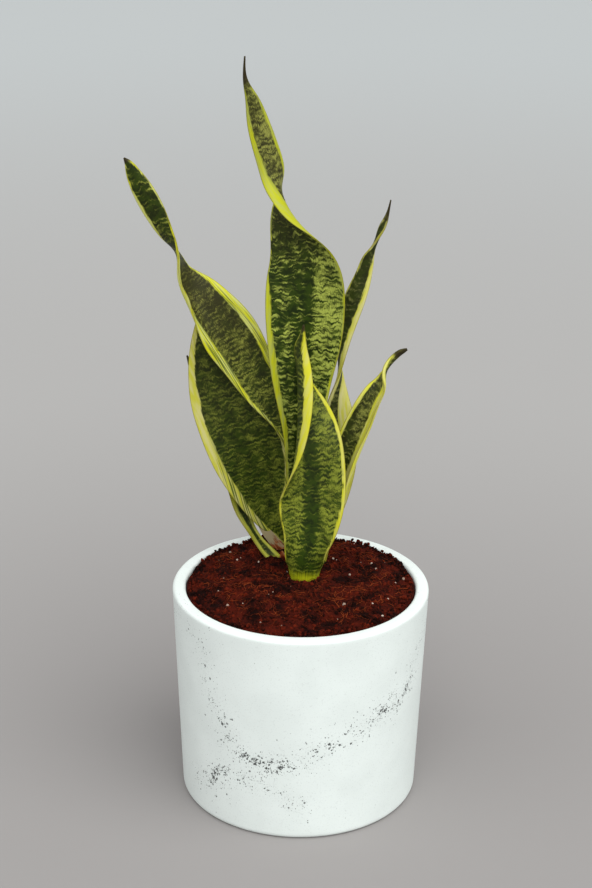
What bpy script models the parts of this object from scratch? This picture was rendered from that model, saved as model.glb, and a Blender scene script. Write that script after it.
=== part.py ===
"""Potted snake plant: seven twisted leaves that stand in a dome of soil in a round, tapered pot.

The origin is the centre of the pot's base. +Z is up, and -Y is the front, where the folded leaf stands.
Lengths are in metres, except in the leaves' stations, which are in millimetres and degrees.
"""

import bmesh
import bpy
import numpy as np

MM = 0.001
POT_CLEARANCE = 0.0003  # between the soil and the pot
LEAF_CLEARANCE = 0.0005  # between the soil and each leaf

POT_DIAMETER = 0.150  # outside, at the rim
POT_HEIGHT = 0.130
POT_TAPER = 0.0048  # how much less the radius is at the base than at the rim
POT_WALL = 0.0076
POT_FLOOR = 0.008
POT_SEGMENTS = 64
BASE_ROUNDING = 0.003
RIM_ROUNDING = 0.002

SOIL_DROP = 0.0015  # from the rim down to the soil where it meets the wall
SOIL_CROWN = 0.0075  # from there up to the soil in the middle
SOIL_RINGS = 7

BURIED_DEPTH = 0.018  # how far a leaf goes below the plane of the rim
BASE_THICKNESS = 0.0046  # in the middle of a leaf, at the soil, at most
BASE_SHARE = 0.33  # thickness at a narrow leaf's base, as a share of its width there
BLADE_THICKNESS = 0.0024  # in the middle of a leaf, up the blade
EDGE_SHARE = 0.38  # thickness at a leaf's edges, as a share of the thickness in its middle
TIP_SHARE = 0.85  # thickness at a leaf's tip, as a share of its width there
FLESHY_LENGTH = 0.045  # over which a leaf thins from its base to its blade
RING_STEP = 0.008  # along a leaf
RING_POINTS = 9  # across each side of a leaf
FOOT_LEAN = 0.3  # how much of a leaf's lean over the soil its buried foot keeps
FLATTEST_CURL = np.radians(1)

# A leaf is a strip that follows a curve. Each station gives, in millimetres and degrees:
# x, y, height over the plane of the rim, width over the curve of the strip, the compass direction that
# the upper face looks to (-90 is the front), and how far the left and the right half curl to that side
# (below 0, away from it).
LEAVES = {
    "tall_leaf": [
        (0, 14, 1, 11, -90, 60, 60),
        (0, 15, 30, 14, -90, 50, 50),
        (-0.5, 16, 60, 18, -90, 35, 35),
        (0, 17, 89, 23.5, -90, 25, 25),
        (-0.5, 18, 124, 36, -90, 12, 12),
        (0.5, 18, 144, 42.5, -92, 12, 12),
        (1, 18, 167, 45.5, -95, 12, 15),
        (0.2, 18, 188, 41.5, -101, 10, 26),
        (-4.6, 17.2, 204, 32, -113, 10, 56),
        (-9.6, 16.2, 217, 25.5, -136, 10, 84),
        (-13, 15.3, 227.5, 21, -172, 10, 72),
        (-17, 15, 241, 17, -226, 10, 45),
        (-22, 15, 256, 14.5, -250, 10, 20),
        (-26, 15, 269, 12, -262, 10, 10),
        (-29.5, 14, 282, 7, -268, 10, 10),
        (-32.5, 14, 290.5, 3, -270, 5, 5),
        (-33, 14, 304, 0.9, -270, 5, 5),
    ],
    "left_twisted_leaf": [
        (-0.5, 28, 1, 12, -90, 45, 45),
        (0.5, 29, 40, 14, -90, 30, 30),
        (-1, 30, 68, 13, -90, 25, 20),
        (-9.5, 32, 87, 14, -90, 20, 15),
        (-20.8, 33, 105, 22.5, -90, 18, 15),
        (-33.5, 35, 127, 30.5, -88, 20, 12),
        (-43.2, 35, 142, 34, -80, 40, 10),
        (-56, 35, 157, 31.5, -70, 85, 10),
        (-65, 35, 168, 25.5, -55, 110, 10),
        (-69.5, 34, 178, 17, -32, 60, 10),
        (-71, 34, 187, 14, 0, 10, 10),
        (-77, 33, 199, 12, 45, 10, 10),
        (-84, 32, 213, 13, 75, 10, 10),
        (-91, 31, 227, 12.5, 80, 10, 10),
        (-96, 31, 237, 8, 85, 10, 10),
        (-98.5, 31, 242, 4, 88, 5, 5),
        (-100.5, 31, 244.5, 0.9, 90, 5, 5),
    ],
    "lower_left_leaf": [
        (-5.5, 43.5, 1, 9, -85, 40, 40),
        (-9.5, 44, 9, 10, -85, 30, 30),
        (-17.5, 44.5, 21, 18.5, -84, 28, 30),
        (-25, 45, 42.5, 37, -83, 28, 30),
        (-30.5, 44, 63, 47, -85, 22, 25),
        (-39, 43, 85.5, 47, -90, 20, 20),
        (-49, 43, 110, 38.5, -90, 20, 20),
        (-56, 42, 129, 22, -90, 20, 20),
        (-59, 42, 144.5, 8, -90, 10, 10),
        (-60, 42, 152.5, 0.9, -90, 5, 5),
    ],
    "outer_left_leaf": [
        (-13.5, 25, 1, 8, -60, 40, 40),
        (-21.5, 31.3, 7, 8, -50, 35, 35),
        (-29.3, 39.5, 14, 8, -45, 30, 30),
        (-35.5, 48, 23, 11.5, -50, 25, 25),
        (-39, 52.5, 42, 15.5, -70, 25, 25),
        (-46.5, 55, 66, 16.5, -80, 20, 20),
        (-56, 56, 94, 12.5, -85, 20, 20),
        (-64.5, 56, 111.5, 5.5, -95, 20, 20),
        (-68.5, 56, 121, 0.9, -95, 5, 5),
    ],
    "front_leaf": [
        (2, -7, 1, 25, -90, -98, -98),
        (2, -6.5, 6, 25.4, -90, -94, -94),
        (2.3, -6.8, 13, 24.5, -90, -55, -55),
        (2.5, -7, 21.5, 24.5, -90, -14, -14),
        (4.5, -6, 35, 31, -90, 16, 16),
        (5.5, -4, 51.5, 38.5, -90, 28, 18),
        (5.5, -2, 67.5, 39.5, -89, 80, 15),
        (4, 0, 85, 38.5, -80, 130, 15),
        (1, 1.5, 103, 35, -52, 135, 20),
        (-1.5, 2, 118.5, 28, -20, 118, 25),
        (-2.5, 2, 132.5, 19, 12, 92, 25),
        (-2, 2, 144, 10, 40, 60, 20),
        (-0.5, 2, 151.5, 4, 55, 20, 10),
        (0, 2, 158, 0.9, 60, 5, 5),
    ],
    "right_small_leaf": [
        (9.5, 21.5, 1, 11, -92, 55, 55),
        (15.5, 16.5, 34, 16, -96, 60, 75),
        (21.5, 14, 59.5, 23.5, -104, 70, 110),
        (29, 14, 82, 25.5, -110, 85, 115),
        (36, 15, 99.5, 22, -116, 80, 90),
        (42, 15, 112.5, 16, -130, 65, 70),
        (45.5, 16, 119.5, 11.5, -150, 50, 50),
        (46.5, 16, 125.5, 7.5, -185, 50, 50),
        (49, 17, 130.5, 5.5, -215, 50, 50),
        (53, 18, 135, 4.5, -235, 40, 40),
        (56, 18, 137.5, 3.5, -240, 30, 30),
        (59, 18, 139, 1.6, -240, 5, 5),
    ],
    "right_tall_leaf": [
        (10.5, 33, 1, 11, -90, 50, 50),
        (16.5, 34.5, 35, 19, -90, 35, 35),
        (21, 36, 63.5, 23.5, -90, 25, 25),
        (21.5, 37, 85, 20, -82, 20, 20),
        (20.5, 38, 101.5, 14.5, -60, 20, 20),
        (21.5, 39, 118.5, 10, -5, 20, 20),
        (22, 40, 133, 10.5, 45, 20, 20),
        (25.5, 40.5, 150, 12.5, 72, 20, 20),
        (31, 41, 166, 12, 85, 20, 20),
        (34.5, 42, 176.5, 9.5, 95, 20, 20),
        (37, 42, 186, 7, 110, 20, 20),
        (39.5, 42, 192, 4.5, 150, 20, 20),
        (42, 42, 198.5, 4.3, 200, 20, 20),
        (44.5, 42, 204.5, 4.3, 235, 20, 20),
        (46.5, 42, 210, 2.4, 255, 10, 10),
        (48.5, 42, 219.5, 0.8, 260, 5, 5),
    ],
}


def clear_scene():
    for thing in list(bpy.data.objects):
        bpy.data.objects.remove(thing)


def new_collection(name):
    collection = bpy.data.collections.new(name)
    bpy.context.scene.collection.children.link(collection)
    return collection


def new_material(name, colour, roughness):
    material = bpy.data.materials.new(name)
    material.use_nodes = True
    shader = material.node_tree.nodes["Principled BSDF"]
    shader.inputs["Base Color"].default_value = (*colour, 1.0)
    shader.inputs["Roughness"].default_value = roughness
    shader.inputs["Metallic"].default_value = 0.0
    return material


def new_object(name, mesh, collection, material=None):
    thing = bpy.data.objects.new(name, mesh)
    collection.objects.link(thing)
    if material:
        mesh.materials.append(material)
    return thing


def turned(name, profile, collection, material):
    """A profile of (radius, height) points, from the axis round its outer side to the axis, turned once."""
    mesh = bpy.data.meshes.new(name)
    points = [(radius, 0.0, height) for radius, height in profile]
    mesh.from_pydata(points, [(i, i + 1) for i in range(len(points) - 1)], [])
    thing = new_object(name, mesh, collection, material)
    screw = thing.modifiers.new("turn", "SCREW")
    screw.steps = POT_SEGMENTS
    screw.render_steps = POT_SEGMENTS
    screw.use_merge_vertices = True
    screw.merge_threshold = 0.00005
    screw.use_smooth_shade = True
    return thing


def arc(centre, radius, start, end, steps):
    """Points on a circle round centre, from the angle start to the angle end, in degrees."""
    angles = np.radians(np.linspace(start, end, steps + 1))
    return [(centre[0] + radius * np.cos(a), centre[1] + radius * np.sin(a)) for a in angles]


def outer_radius(height):
    """The pot's outer radius at a height."""
    return POT_DIAMETER / 2 - POT_TAPER * (1 - height / POT_HEIGHT)


def inner_radius(height):
    """The pot's inner radius at a height."""
    return outer_radius(height) - POT_WALL


def make_pot(collection):
    """A tapered pot with a plain flat base, a thick wall and a softly rounded rim, open at the top."""
    material = new_material("pot_white", (0.80, 0.80, 0.78), 0.55)
    rim_level = POT_HEIGHT - RIM_ROUNDING
    rim_in = (inner_radius(POT_HEIGHT) + RIM_ROUNDING, rim_level)
    rim_out = (outer_radius(POT_HEIGHT) - RIM_ROUNDING, rim_level)
    foot = (outer_radius(0) - BASE_ROUNDING, BASE_ROUNDING)
    profile = [(0.0, POT_FLOOR), (inner_radius(POT_FLOOR), POT_FLOOR)]
    profile += arc(rim_in, RIM_ROUNDING, 180, 90, 3)
    profile += arc(rim_out, RIM_ROUNDING, 90, 0, 3)
    profile += arc(foot, BASE_ROUNDING, 0, -90, 3)
    profile += [(0.0, 0.0)]
    return turned("pot", profile, collection, material)


def soil_surface(share):
    """The soil's height at a share of the way from the middle to the wall: a low dome."""
    return POT_HEIGHT - SOIL_DROP + SOIL_CROWN * (1 - share**2)


def make_soil(collection):
    """A plug that fills the pot from its floor to a low dome, clear of the pot by the clearance."""
    material = new_material("soil_brown", (0.075, 0.022, 0.013), 0.95)
    bottom = POT_FLOOR + POT_CLEARANCE
    edge_height = soil_surface(1.0)
    edge_radius = inner_radius(edge_height) - POT_CLEARANCE
    shares = np.linspace(0.0, 1.0, SOIL_RINGS)
    profile = [(share * edge_radius, soil_surface(share)) for share in shares]
    profile += [(inner_radius(bottom) - POT_CLEARANCE, bottom), (0.0, bottom)]
    return turned("soil", profile, collection, material)


def spline(knots, values, at):
    """A natural cubic spline through values at knots, read at the places in at."""
    gaps = np.diff(knots)
    slopes = np.diff(values, axis=0) / gaps[:, None]
    count = len(knots)
    system = np.eye(count)
    bends = np.zeros_like(values)
    for i in range(1, count - 1):
        system[i, i - 1 : i + 2] = gaps[i - 1], 2 * (gaps[i - 1] + gaps[i]), gaps[i]
        bends[i] = 6 * (slopes[i] - slopes[i - 1])
    bends = np.linalg.solve(system, bends)
    k = np.clip(np.searchsorted(knots, at, side="right") - 1, 0, count - 2)
    right = ((at - knots[k]) / gaps[k])[:, None]
    left = 1 - right
    square = (gaps[k] ** 2)[:, None] / 6
    return (
        left * values[k]
        + right * values[k + 1]
        + square * ((left**3 - left) * bends[k] + (right**3 - right) * bends[k + 1])
    )


def leaf_stations(rows):
    """The rows in metres and radians, with the buried foot below the first row."""
    rows = np.array(rows, float)
    lean = (rows[1, :2] - rows[0, :2]) / (rows[1, 2] - rows[0, 2])
    foot = rows[0].copy()
    foot[2] = -BURIED_DEPTH / MM
    foot[:2] -= FOOT_LEAN * lean * (rows[0, 2] - foot[2])
    rows = np.vstack([foot, rows])
    rows[:, :4] *= MM
    rows[:, 2] += POT_HEIGHT
    rows[:, 4:] = np.radians(rows[:, 4:])
    return rows


def leaf_rings(rows, grow):
    """The leaf's rings of points, each across the upper face and back across the lower one.

    At each place along the leaf the strip's cross-section is two arcs that leave the midrib, and the two
    faces lie half the thickness on either side of them. grow moves the skin outwards.
    """
    rows = leaf_stations(rows)
    knots = np.concatenate([[0.0], np.cumsum(np.linalg.norm(np.diff(rows[:, :3], axis=0), axis=1))])
    places = np.linspace(0.0, knots[-1], int(round(knots[-1] / RING_STEP)) + 1)
    values = spline(knots, rows, places)
    path = values[:, :3]
    width = np.clip(values[:, 3], rows[-1, 3], None)
    facing, curl_left, curl_right = values[:, 4:].T

    along = np.gradient(path, places, axis=0)
    along /= np.linalg.norm(along, axis=1)[:, None]
    faces_to = np.column_stack([np.cos(facing), np.sin(facing), np.zeros_like(facing)])
    across = np.cross(along, faces_to)
    across /= np.linalg.norm(across, axis=1)[:, None]
    up = np.cross(across, along)

    fleshy = np.exp(-(((places - BURIED_DEPTH).clip(0) / FLESHY_LENGTH) ** 2))
    base = np.minimum(BASE_THICKNESS, BASE_SHARE * width)
    middle = BLADE_THICKNESS + (base - BLADE_THICKNESS) * fleshy
    middle = np.minimum(middle, TIP_SHARE * width)[:, None]
    path = path.copy()
    path[0] -= grow * along[0]

    u = np.sin(np.linspace(-np.pi / 2, np.pi / 2, RING_POINTS))[None, :]
    side = np.where(u < 0, -1.0, 1.0)
    curl = np.where(u < 0, curl_left[:, None], curl_right[:, None])
    curl = np.where(np.abs(curl) < FLATTEST_CURL, FLATTEST_CURL, curl)
    turn = curl * np.abs(u)
    half = width[:, None] / 2 + grow
    offset_across = half * side * np.sin(turn) / curl
    offset_up = half * (1 - np.cos(turn)) / curl
    skin = path[:, None] + offset_across[..., None] * across[:, None] + offset_up[..., None] * up[:, None]
    normal = (-side * np.sin(turn))[..., None] * across[:, None] + np.cos(turn)[..., None] * up[:, None]
    thickness = middle * (EDGE_SHARE + (1 - EDGE_SHARE) * (1 - u**2))
    lift = (thickness / 2 + grow)[..., None] * normal
    return np.concatenate([skin + lift, (skin - lift)[:, ::-1]], axis=1)


def leaf_mesh(name, rows, grow=0.0):
    """The rings joined one to the next, and closed at both ends."""
    rings = leaf_rings(rows, grow)
    count, size = rings.shape[:2]
    mesh = bmesh.new()
    points = [[mesh.verts.new(p) for p in ring] for ring in rings]
    for low, high in zip(points, points[1:]):
        for i in range(size):
            j = (i + 1) % size
            mesh.faces.new((low[i], high[i], high[j], low[j]))
    for ring, upwards in ((points[0], False), (points[-1], True)):
        for i in range(size // 2 - 1):
            corners = (ring[i], ring[i + 1], ring[size - 2 - i], ring[size - 1 - i])
            mesh.faces.new(corners[::-1] if upwards else corners)
    bmesh.ops.recalc_face_normals(mesh, faces=mesh.faces)
    made = bpy.data.meshes.new(name)
    mesh.to_mesh(made)
    mesh.free()
    made.shade_smooth()
    return made


def make_leaf(name, rows, collection):
    material = new_material(name + "_green", (0.13, 0.20, 0.045), 0.45)
    return new_object(name, leaf_mesh(name, rows), collection, material)


def cut_pocket(soil, name, rows, cutters):
    """Cuts the leaf's shape, grown by the clearance, out of the soil."""
    cutter = new_object(name + "_pocket", leaf_mesh(name + "_pocket", rows, LEAF_CLEARANCE), cutters)
    cutter.hide_render = True
    cutter.display_type = "WIRE"
    cut = soil.modifiers.new(name + "_pocket", "BOOLEAN")
    cut.operation = "DIFFERENCE"
    cut.solver = "EXACT"
    cut.object = cutter


def main():
    clear_scene()
    plant = new_collection("potted_snake_plant")
    cutters = new_collection("cutters")
    make_pot(plant)
    soil = make_soil(plant)
    for name, rows in LEAVES.items():
        make_leaf(name, rows, plant)
        cut_pocket(soil, name, rows, cutters)


main()
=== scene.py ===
"""The looks of a potted snake plant: banded leaves with yellow margins, crumbled coir, a pored white pot.

Places are in metres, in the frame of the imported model: the origin is the centre of the pot's base, +Z is up
and -Y is the front. The leaves' stations, and the attributes that their materials read, are in millimetres.
"""

import math

import bpy
import numpy as np
from mathutils import Matrix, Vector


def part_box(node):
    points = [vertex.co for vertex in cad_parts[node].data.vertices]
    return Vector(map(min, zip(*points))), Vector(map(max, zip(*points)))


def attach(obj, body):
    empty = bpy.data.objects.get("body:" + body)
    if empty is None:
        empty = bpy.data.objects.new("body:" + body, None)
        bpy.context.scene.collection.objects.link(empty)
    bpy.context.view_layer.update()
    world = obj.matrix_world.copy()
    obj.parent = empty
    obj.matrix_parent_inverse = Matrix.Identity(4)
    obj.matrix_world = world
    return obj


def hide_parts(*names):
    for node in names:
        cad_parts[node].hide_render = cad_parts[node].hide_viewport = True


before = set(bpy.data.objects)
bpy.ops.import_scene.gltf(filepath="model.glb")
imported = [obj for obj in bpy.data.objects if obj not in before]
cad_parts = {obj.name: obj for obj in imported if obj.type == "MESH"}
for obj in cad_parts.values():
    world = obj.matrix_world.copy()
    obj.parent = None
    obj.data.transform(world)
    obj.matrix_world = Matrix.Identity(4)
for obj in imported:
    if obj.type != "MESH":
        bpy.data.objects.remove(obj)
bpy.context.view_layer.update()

MM = 0.001
POT_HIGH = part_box("pot")[1]
POT_RADIUS = POT_HIGH.x
POT_HEIGHT = POT_HIGH.z
POT_TAPER = 0.0048  # how much less the radius is at the base than at the rim
POT_WALL = 0.0076
POT_FLOOR = 0.008
BASE_ROUNDING = 0.003
RIM_ROUNDING = 0.002
SOIL_GAP = 0.0003  # between the soil and the pot
SOIL_LOW, SOIL_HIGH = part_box("soil")

BURIED_DEPTH = 0.018  # how far a leaf goes below the plane of the rim
BASE_THICKNESS = 0.0046  # in the middle of a leaf, at the soil, at most
BASE_SHARE = 0.33  # thickness at a narrow leaf's base, as a share of its width there
BLADE_THICKNESS = 0.0024  # in the middle of a leaf, up the blade
EDGE_SHARE = 0.38  # thickness at a leaf's edges, as a share of the thickness in its middle
TIP_SHARE = 0.85  # thickness at a leaf's tip, as a share of its width there
FLESHY_LENGTH = 0.045  # over which a leaf thins from its base to its blade
FOOT_LEAN = 0.3  # how much of a leaf's lean over the soil its buried foot keeps
RIPPLE = 0.0006  # how far the edges of a blade wave
RIPPLE_LENGTH = 0.024
FLATTEST_CURL = math.radians(1)

# Each leaf's stations: x, y, height over the rim, width, facing, curl of the left and the right half, as in
# the frame, and then the width of the yellow margin on the left and on the right edge.
LEAVES = {
    "tall_leaf": [
        (0, 14, 1, 11, -90, 60, 60, 0.8, 1.5),
        (0, 15, 30, 14, -90, 50, 50, 0.8, 1.5),
        (-0.5, 16, 60, 18, -90, 35, 35, 1.4, 1.5),
        (0, 17, 89, 23.5, -90, 25, 25, 2.6, 1.5),
        (-0.5, 18, 124, 36, -90, 12, 12, 4.2, 1.2),
        (0.5, 18, 144, 42.5, -92, 12, 12, 3.6, 1.0),
        (1, 18, 167, 45.5, -95, 12, 15, 2.8, 1.0),
        (0.2, 18, 188, 41.5, -101, 10, 26, 0.8, 1.2),
        (-4.6, 17.2, 204, 32, -113, 10, 56, 0.5, 2.5),
        (-9.6, 16.2, 217, 25.5, -136, 10, 84, 1.5, 7.5),
        (-13, 15.3, 227.5, 21, -172, 10, 72, 2.5, 7.5),
        (-17, 15, 241, 17, -226, 10, 45, 2.5, 4.2),
        (-22, 15, 256, 14.5, -250, 10, 20, 2.0, 3.0),
        (-26, 15, 269, 12, -262, 10, 10, 1.8, 2.4),
        (-29.5, 14, 282, 7, -268, 10, 10, 1, 1.2),
        (-32.5, 14, 290.5, 3, -270, 5, 5, 0.3, 0.3),
        (-33, 14, 304, 0.9, -270, 5, 5, 0, 0),
    ],
    "left_twisted_leaf": [
        (-0.5, 28, 1, 12, -90, 45, 45, 3, 3),
        (0.5, 29, 40, 14, -90, 30, 30, 4, 4),
        (-1, 30, 68, 13, -90, 25, 20, 1.0, 1.5),
        (-9.5, 32, 87, 14, -90, 20, 15, 1.4, 1.8),
        (-20.8, 33, 105, 22.5, -90, 18, 15, 2.2, 3.0),
        (-33.5, 35, 127, 30.5, -88, 20, 12, 5.0, 4.8),
        (-43.2, 35, 142, 34, -80, 40, 10, 6.0, 5.8),
        (-56, 35, 157, 31.5, -70, 85, 10, 5.5, 4.6),
        (-65, 35, 168, 25.5, -55, 110, 10, 4.7, 2.5),
        (-69.5, 34, 178, 17, -32, 60, 10, 4, 1.2),
        (-71, 34, 187, 14, 0, 10, 10, 2.2, 1.6),
        (-77, 33, 199, 12, 45, 10, 10, 0.9, 2.2),
        (-84, 32, 213, 13, 75, 10, 10, 0.7, 2.4),
        (-91, 31, 227, 12.5, 80, 10, 10, 0.7, 1.8),
        (-96, 31, 237, 8, 85, 10, 10, 0.7, 0.8),
        (-98.5, 31, 242, 4, 88, 5, 5, 0.5, 0.5),
        (-100.5, 31, 244.5, 0.9, 90, 5, 5, 0, 0),
    ],
    "lower_left_leaf": [
        (-5.5, 43.5, 1, 9, -85, 40, 40, 2, 2),
        (-9.5, 44, 9, 10, -85, 30, 30, 2.5, 2),
        (-17.5, 44.5, 21, 18.5, -84, 28, 30, 3.5, 2.5),
        (-25, 45, 42.5, 37, -83, 28, 30, 5.5, 3),
        (-30.5, 44, 63, 47, -85, 22, 25, 6.0, 3.5),
        (-39, 43, 85.5, 47, -90, 20, 20, 5.6, 3.5),
        (-49, 43, 110, 38.5, -90, 20, 20, 5.2, 3),
        (-56, 42, 129, 22, -90, 20, 20, 3.4, 2.5),
        (-59, 42, 144.5, 8, -90, 10, 10, 2, 1.5),
        (-60, 42, 152.5, 0.9, -90, 5, 5, 0, 0),
    ],
    "outer_left_leaf": [
        (-13.5, 25, 1, 8, -60, 40, 40, 2.2, 2.2),
        (-21.5, 31.3, 7, 8, -50, 35, 35, 2.3, 2.3),
        (-29.3, 39.5, 14, 8, -45, 30, 30, 2.5, 2.5),
        (-35.5, 48, 23, 11.5, -50, 25, 25, 3.0, 3.0),
        (-39, 52.5, 42, 15.5, -70, 25, 25, 2.5, 2.5),
        (-46.5, 55, 66, 16.5, -80, 20, 20, 2.5, 2.5),
        (-56, 56, 94, 12.5, -85, 20, 20, 2, 2),
        (-64.5, 56, 111.5, 5.5, -95, 20, 20, 1, 1),
        (-68.5, 56, 121, 0.9, -95, 5, 5, 0, 0),
    ],
    "front_leaf": [
        (2, -7, 1, 25, -90, -98, -98, 1.5, 1.5),
        (2, -6.5, 6, 25.4, -90, -94, -94, 1.5, 1.5),
        (2.3, -6.8, 13, 24.5, -90, -55, -55, 1.2, 1.4),
        (2.5, -7, 21.5, 24.5, -90, -14, -14, 0.8, 1.4),
        (4.5, -6, 35, 31, -90, 16, 16, 0.8, 1.6),
        (5.5, -4, 51.5, 38.5, -90, 28, 18, 1.0, 1.9),
        (5.5, -2, 67.5, 39.5, -89, 80, 15, 1.8, 2.0),
        (4, 0, 85, 38.5, -80, 130, 15, 4.0, 2.2),
        (1, 1.5, 103, 35, -52, 135, 20, 5.2, 2.2),
        (-1.5, 2, 118.5, 28, -20, 118, 25, 5.2, 2),
        (-2.5, 2, 132.5, 19, 12, 92, 25, 4.2, 1.5),
        (-2, 2, 144, 10, 40, 60, 20, 3, 1.2),
        (-0.5, 2, 151.5, 4, 55, 20, 10, 1, 0.6),
        (0, 2, 158, 0.9, 60, 5, 5, 0, 0),
    ],
    "right_small_leaf": [
        (9.5, 21.5, 1, 11, -92, 55, 55, 2, 2),
        (15.5, 16.5, 34, 16, -96, 60, 75, 2, 4.5),
        (21.5, 14, 59.5, 23.5, -104, 70, 110, 2.2, 8.5),
        (29, 14, 82, 25.5, -110, 85, 115, 2.5, 9.4),
        (36, 15, 99.5, 22, -116, 80, 90, 2.5, 8.2),
        (42, 15, 112.5, 16, -130, 65, 70, 2.2, 6),
        (45.5, 16, 119.5, 11.5, -150, 50, 50, 1.6, 3.4),
        (46.5, 16, 125.5, 7.5, -185, 50, 50, 1.5, 2),
        (49, 17, 130.5, 5.5, -215, 50, 50, 1, 1.5),
        (53, 18, 135, 4.5, -235, 40, 40, 0.8, 1),
        (56, 18, 137.5, 3.5, -240, 30, 30, 0.6, 0.6),
        (59, 18, 139, 1.6, -240, 5, 5, 0.2, 0.2),
    ],
    "right_tall_leaf": [
        (10.5, 33, 1, 11, -90, 50, 50, 2, 3),
        (16.5, 34.5, 35, 19, -90, 35, 35, 2, 5),
        (21, 36, 63.5, 23.5, -90, 25, 25, 2, 10),
        (21.5, 37, 85, 20, -82, 20, 20, 2, 10.5),
        (20.5, 38, 101.5, 14.5, -60, 20, 20, 2.5, 7.5),
        (21.5, 39, 118.5, 10, -5, 20, 20, 3, 3),
        (22, 40, 133, 10.5, 45, 20, 20, 3, 2),
        (25.5, 40.5, 150, 12.5, 72, 20, 20, 3.2, 1),
        (31, 41, 166, 12, 85, 20, 20, 3.2, 0.8),
        (34.5, 42, 176.5, 9.5, 95, 20, 20, 2.5, 0.6),
        (37, 42, 186, 7, 110, 20, 20, 1.5, 0.5),
        (39.5, 42, 192, 4.5, 150, 20, 20, 1, 0.4),
        (42, 42, 198.5, 4.3, 200, 20, 20, 0.8, 0.4),
        (44.5, 42, 204.5, 4.3, 235, 20, 20, 0.8, 0.4),
        (46.5, 42, 210, 2.4, 255, 10, 10, 0.4, 0.2),
        (48.5, 42, 219.5, 0.8, 260, 5, 5, 0, 0),
    ],
}

# How each leaf is coloured: the colour of its bands, the two colours of its margins, how soft the bands
# are, and how many mm of its tip are brown. Each row then gives a height over the rim in mm, how much of
# the blade the light bands take on the left, in the middle and on the right, how far the green turns to
# bronze, and how strongly green lines run in its margins.
LOOKS = {
    "tall_leaf": dict(
        band=(168, 178, 78),
        rim=((180, 182, 26), (172, 176, 78)),
        soft=0.15,
        tip=22,
        rows=[
            (0, 0.30, 0.15, 0.45, 0.0, 0.6),
            (89, 0.40, 0.06, 0.40, 0.0, 0.6),
            (144, 0.34, 0.02, 0.66, 0.0, 0.5),
            (170, 0.28, 0.10, 0.76, 0.0, 0.5),
            (190, 0.24, 0.26, 0.58, 0.15, 0.4),
            (212, 0.20, 0.20, 0.30, 0.6, 0.2),
            (232, 0.62, 0.60, 0.58, 1.0, 0.5),
            (270, 0.60, 0.62, 0.60, 1.0, 0.6),
            (304, 0.30, 0.30, 0.30, 0.8, 0.3),
        ],
    ),
    "left_twisted_leaf": dict(
        band=(142, 148, 56),
        rim=((210, 208, 36), (206, 208, 118)),
        soft=0.4,
        tip=4,
        rows=[
            (0, 0.30, 0.25, 0.20, 0.2, 0.9),
            (80, 0.46, 0.38, 0.24, 0.2, 1.2),
            (115, 0.64, 0.54, 0.26, 0.3, 2.0),
            (140, 0.50, 0.44, 0.24, 0.7, 2.0),
            (160, 0.30, 0.22, 0.16, 1.0, 0.8),
            (180, 0.30, 0.25, 0.25, 1.0, 0.4),
            (200, 0.22, 0.17, 0.12, 0.3, 0.3),
            (244, 0.10, 0.10, 0.08, 0.1, 0.3),
        ],
    ),
    "lower_left_leaf": dict(
        band=(118, 126, 42),
        rim=((196, 192, 66), (204, 198, 124)),
        soft=1.0,
        tip=6,
        rows=[
            (0, 0.60, 0.70, 0.80, 0.0, 1.6),
            (25, 0.44, 0.60, 0.80, 0.0, 2.2),
            (48, 0.40, 0.32, 0.60, 0.0, 2.0),
            (70, 0.34, 0.26, 0.40, 0.1, 0.7),
            (95, 0.32, 0.28, 0.26, 0.3, 0.1),
            (152, 0.15, 0.12, 0.12, 0.4, 0.1),
        ],
    ),
    "outer_left_leaf": dict(
        band=(132, 138, 54),
        rim=((170, 170, 50), (180, 178, 84)),
        soft=0.3,
        tip=8,
        rows=[
            (0, 0.60, 0.20, 0.60, 0.3, 0.8),
            (60, 0.50, 0.20, 0.50, 0.1, 0.7),
            (121, 0.40, 0.20, 0.40, 0.3, 0.3),
        ],
    ),
    "front_leaf": dict(
        band=(128, 136, 44),
        rim=((200, 196, 44), (198, 194, 92)),
        soft=0.55,
        tip=5,
        rows=[
            (0, 0.62, 0.22, 0.50, 0.0, 0.2),
            (40, 0.70, 0.02, 0.62, 0.0, 0.2),
            (85, 0.72, 0.04, 0.60, 0.1, 0.2),
            (105, 0.40, 0.40, 0.66, 0.1, 0.2),
            (158, 0.40, 0.30, 0.40, 0.3, 0.2),
        ],
    ),
    "right_small_leaf": dict(
        band=(146, 150, 70),
        rim=((208, 206, 60), (212, 208, 120)),
        soft=0.3,
        tip=12,
        rows=[
            (0, 0.40, 0.40, 0.60, 0.1, 0.5),
            (70, 0.10, 0.30, 0.60, 0.3, 0.4),
            (100, 0.10, 0.60, 0.50, 0.6, 0.3),
            (139, 0.20, 0.40, 0.40, 0.6, 0.2),
        ],
    ),
    "right_tall_leaf": dict(
        band=(112, 114, 66),
        rim=((204, 200, 76), (210, 204, 136)),
        soft=0.3,
        tip=16,
        rows=[
            (0, 0.40, 0.40, 0.50, 0.2, 0.5),
            (80, 0.50, 0.50, 0.50, 0.6, 0.5),
            (115, 0.30, 0.20, 0.30, 0.4, 0.3),
            (219, 0.16, 0.12, 0.16, 0.5, 0.2),
        ],
    ),
}

DARK_GREEN = (44, 60, 8)
DEEP_GREEN = (26, 38, 6)
BRONZE_DARK = (54, 50, 24)
BRONZE_LIGHT = (130, 128, 62)
LEAF_LINE = (96, 108, 44)
BASE_YELLOW = (176, 180, 22)
TIP_BROWN = (44, 36, 18)
EDGE_OLIVE = (112, 100, 34)


def linear(colour):
    """A colour of 0 to 255 in the display's curve, as the light that the shader works in."""
    share = np.array(colour, float) / 255
    light = np.where(share <= 0.04045, share / 12.92, ((share + 0.055) / 1.055) ** 2.4)
    return (*light.tolist(), 1.0)


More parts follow.
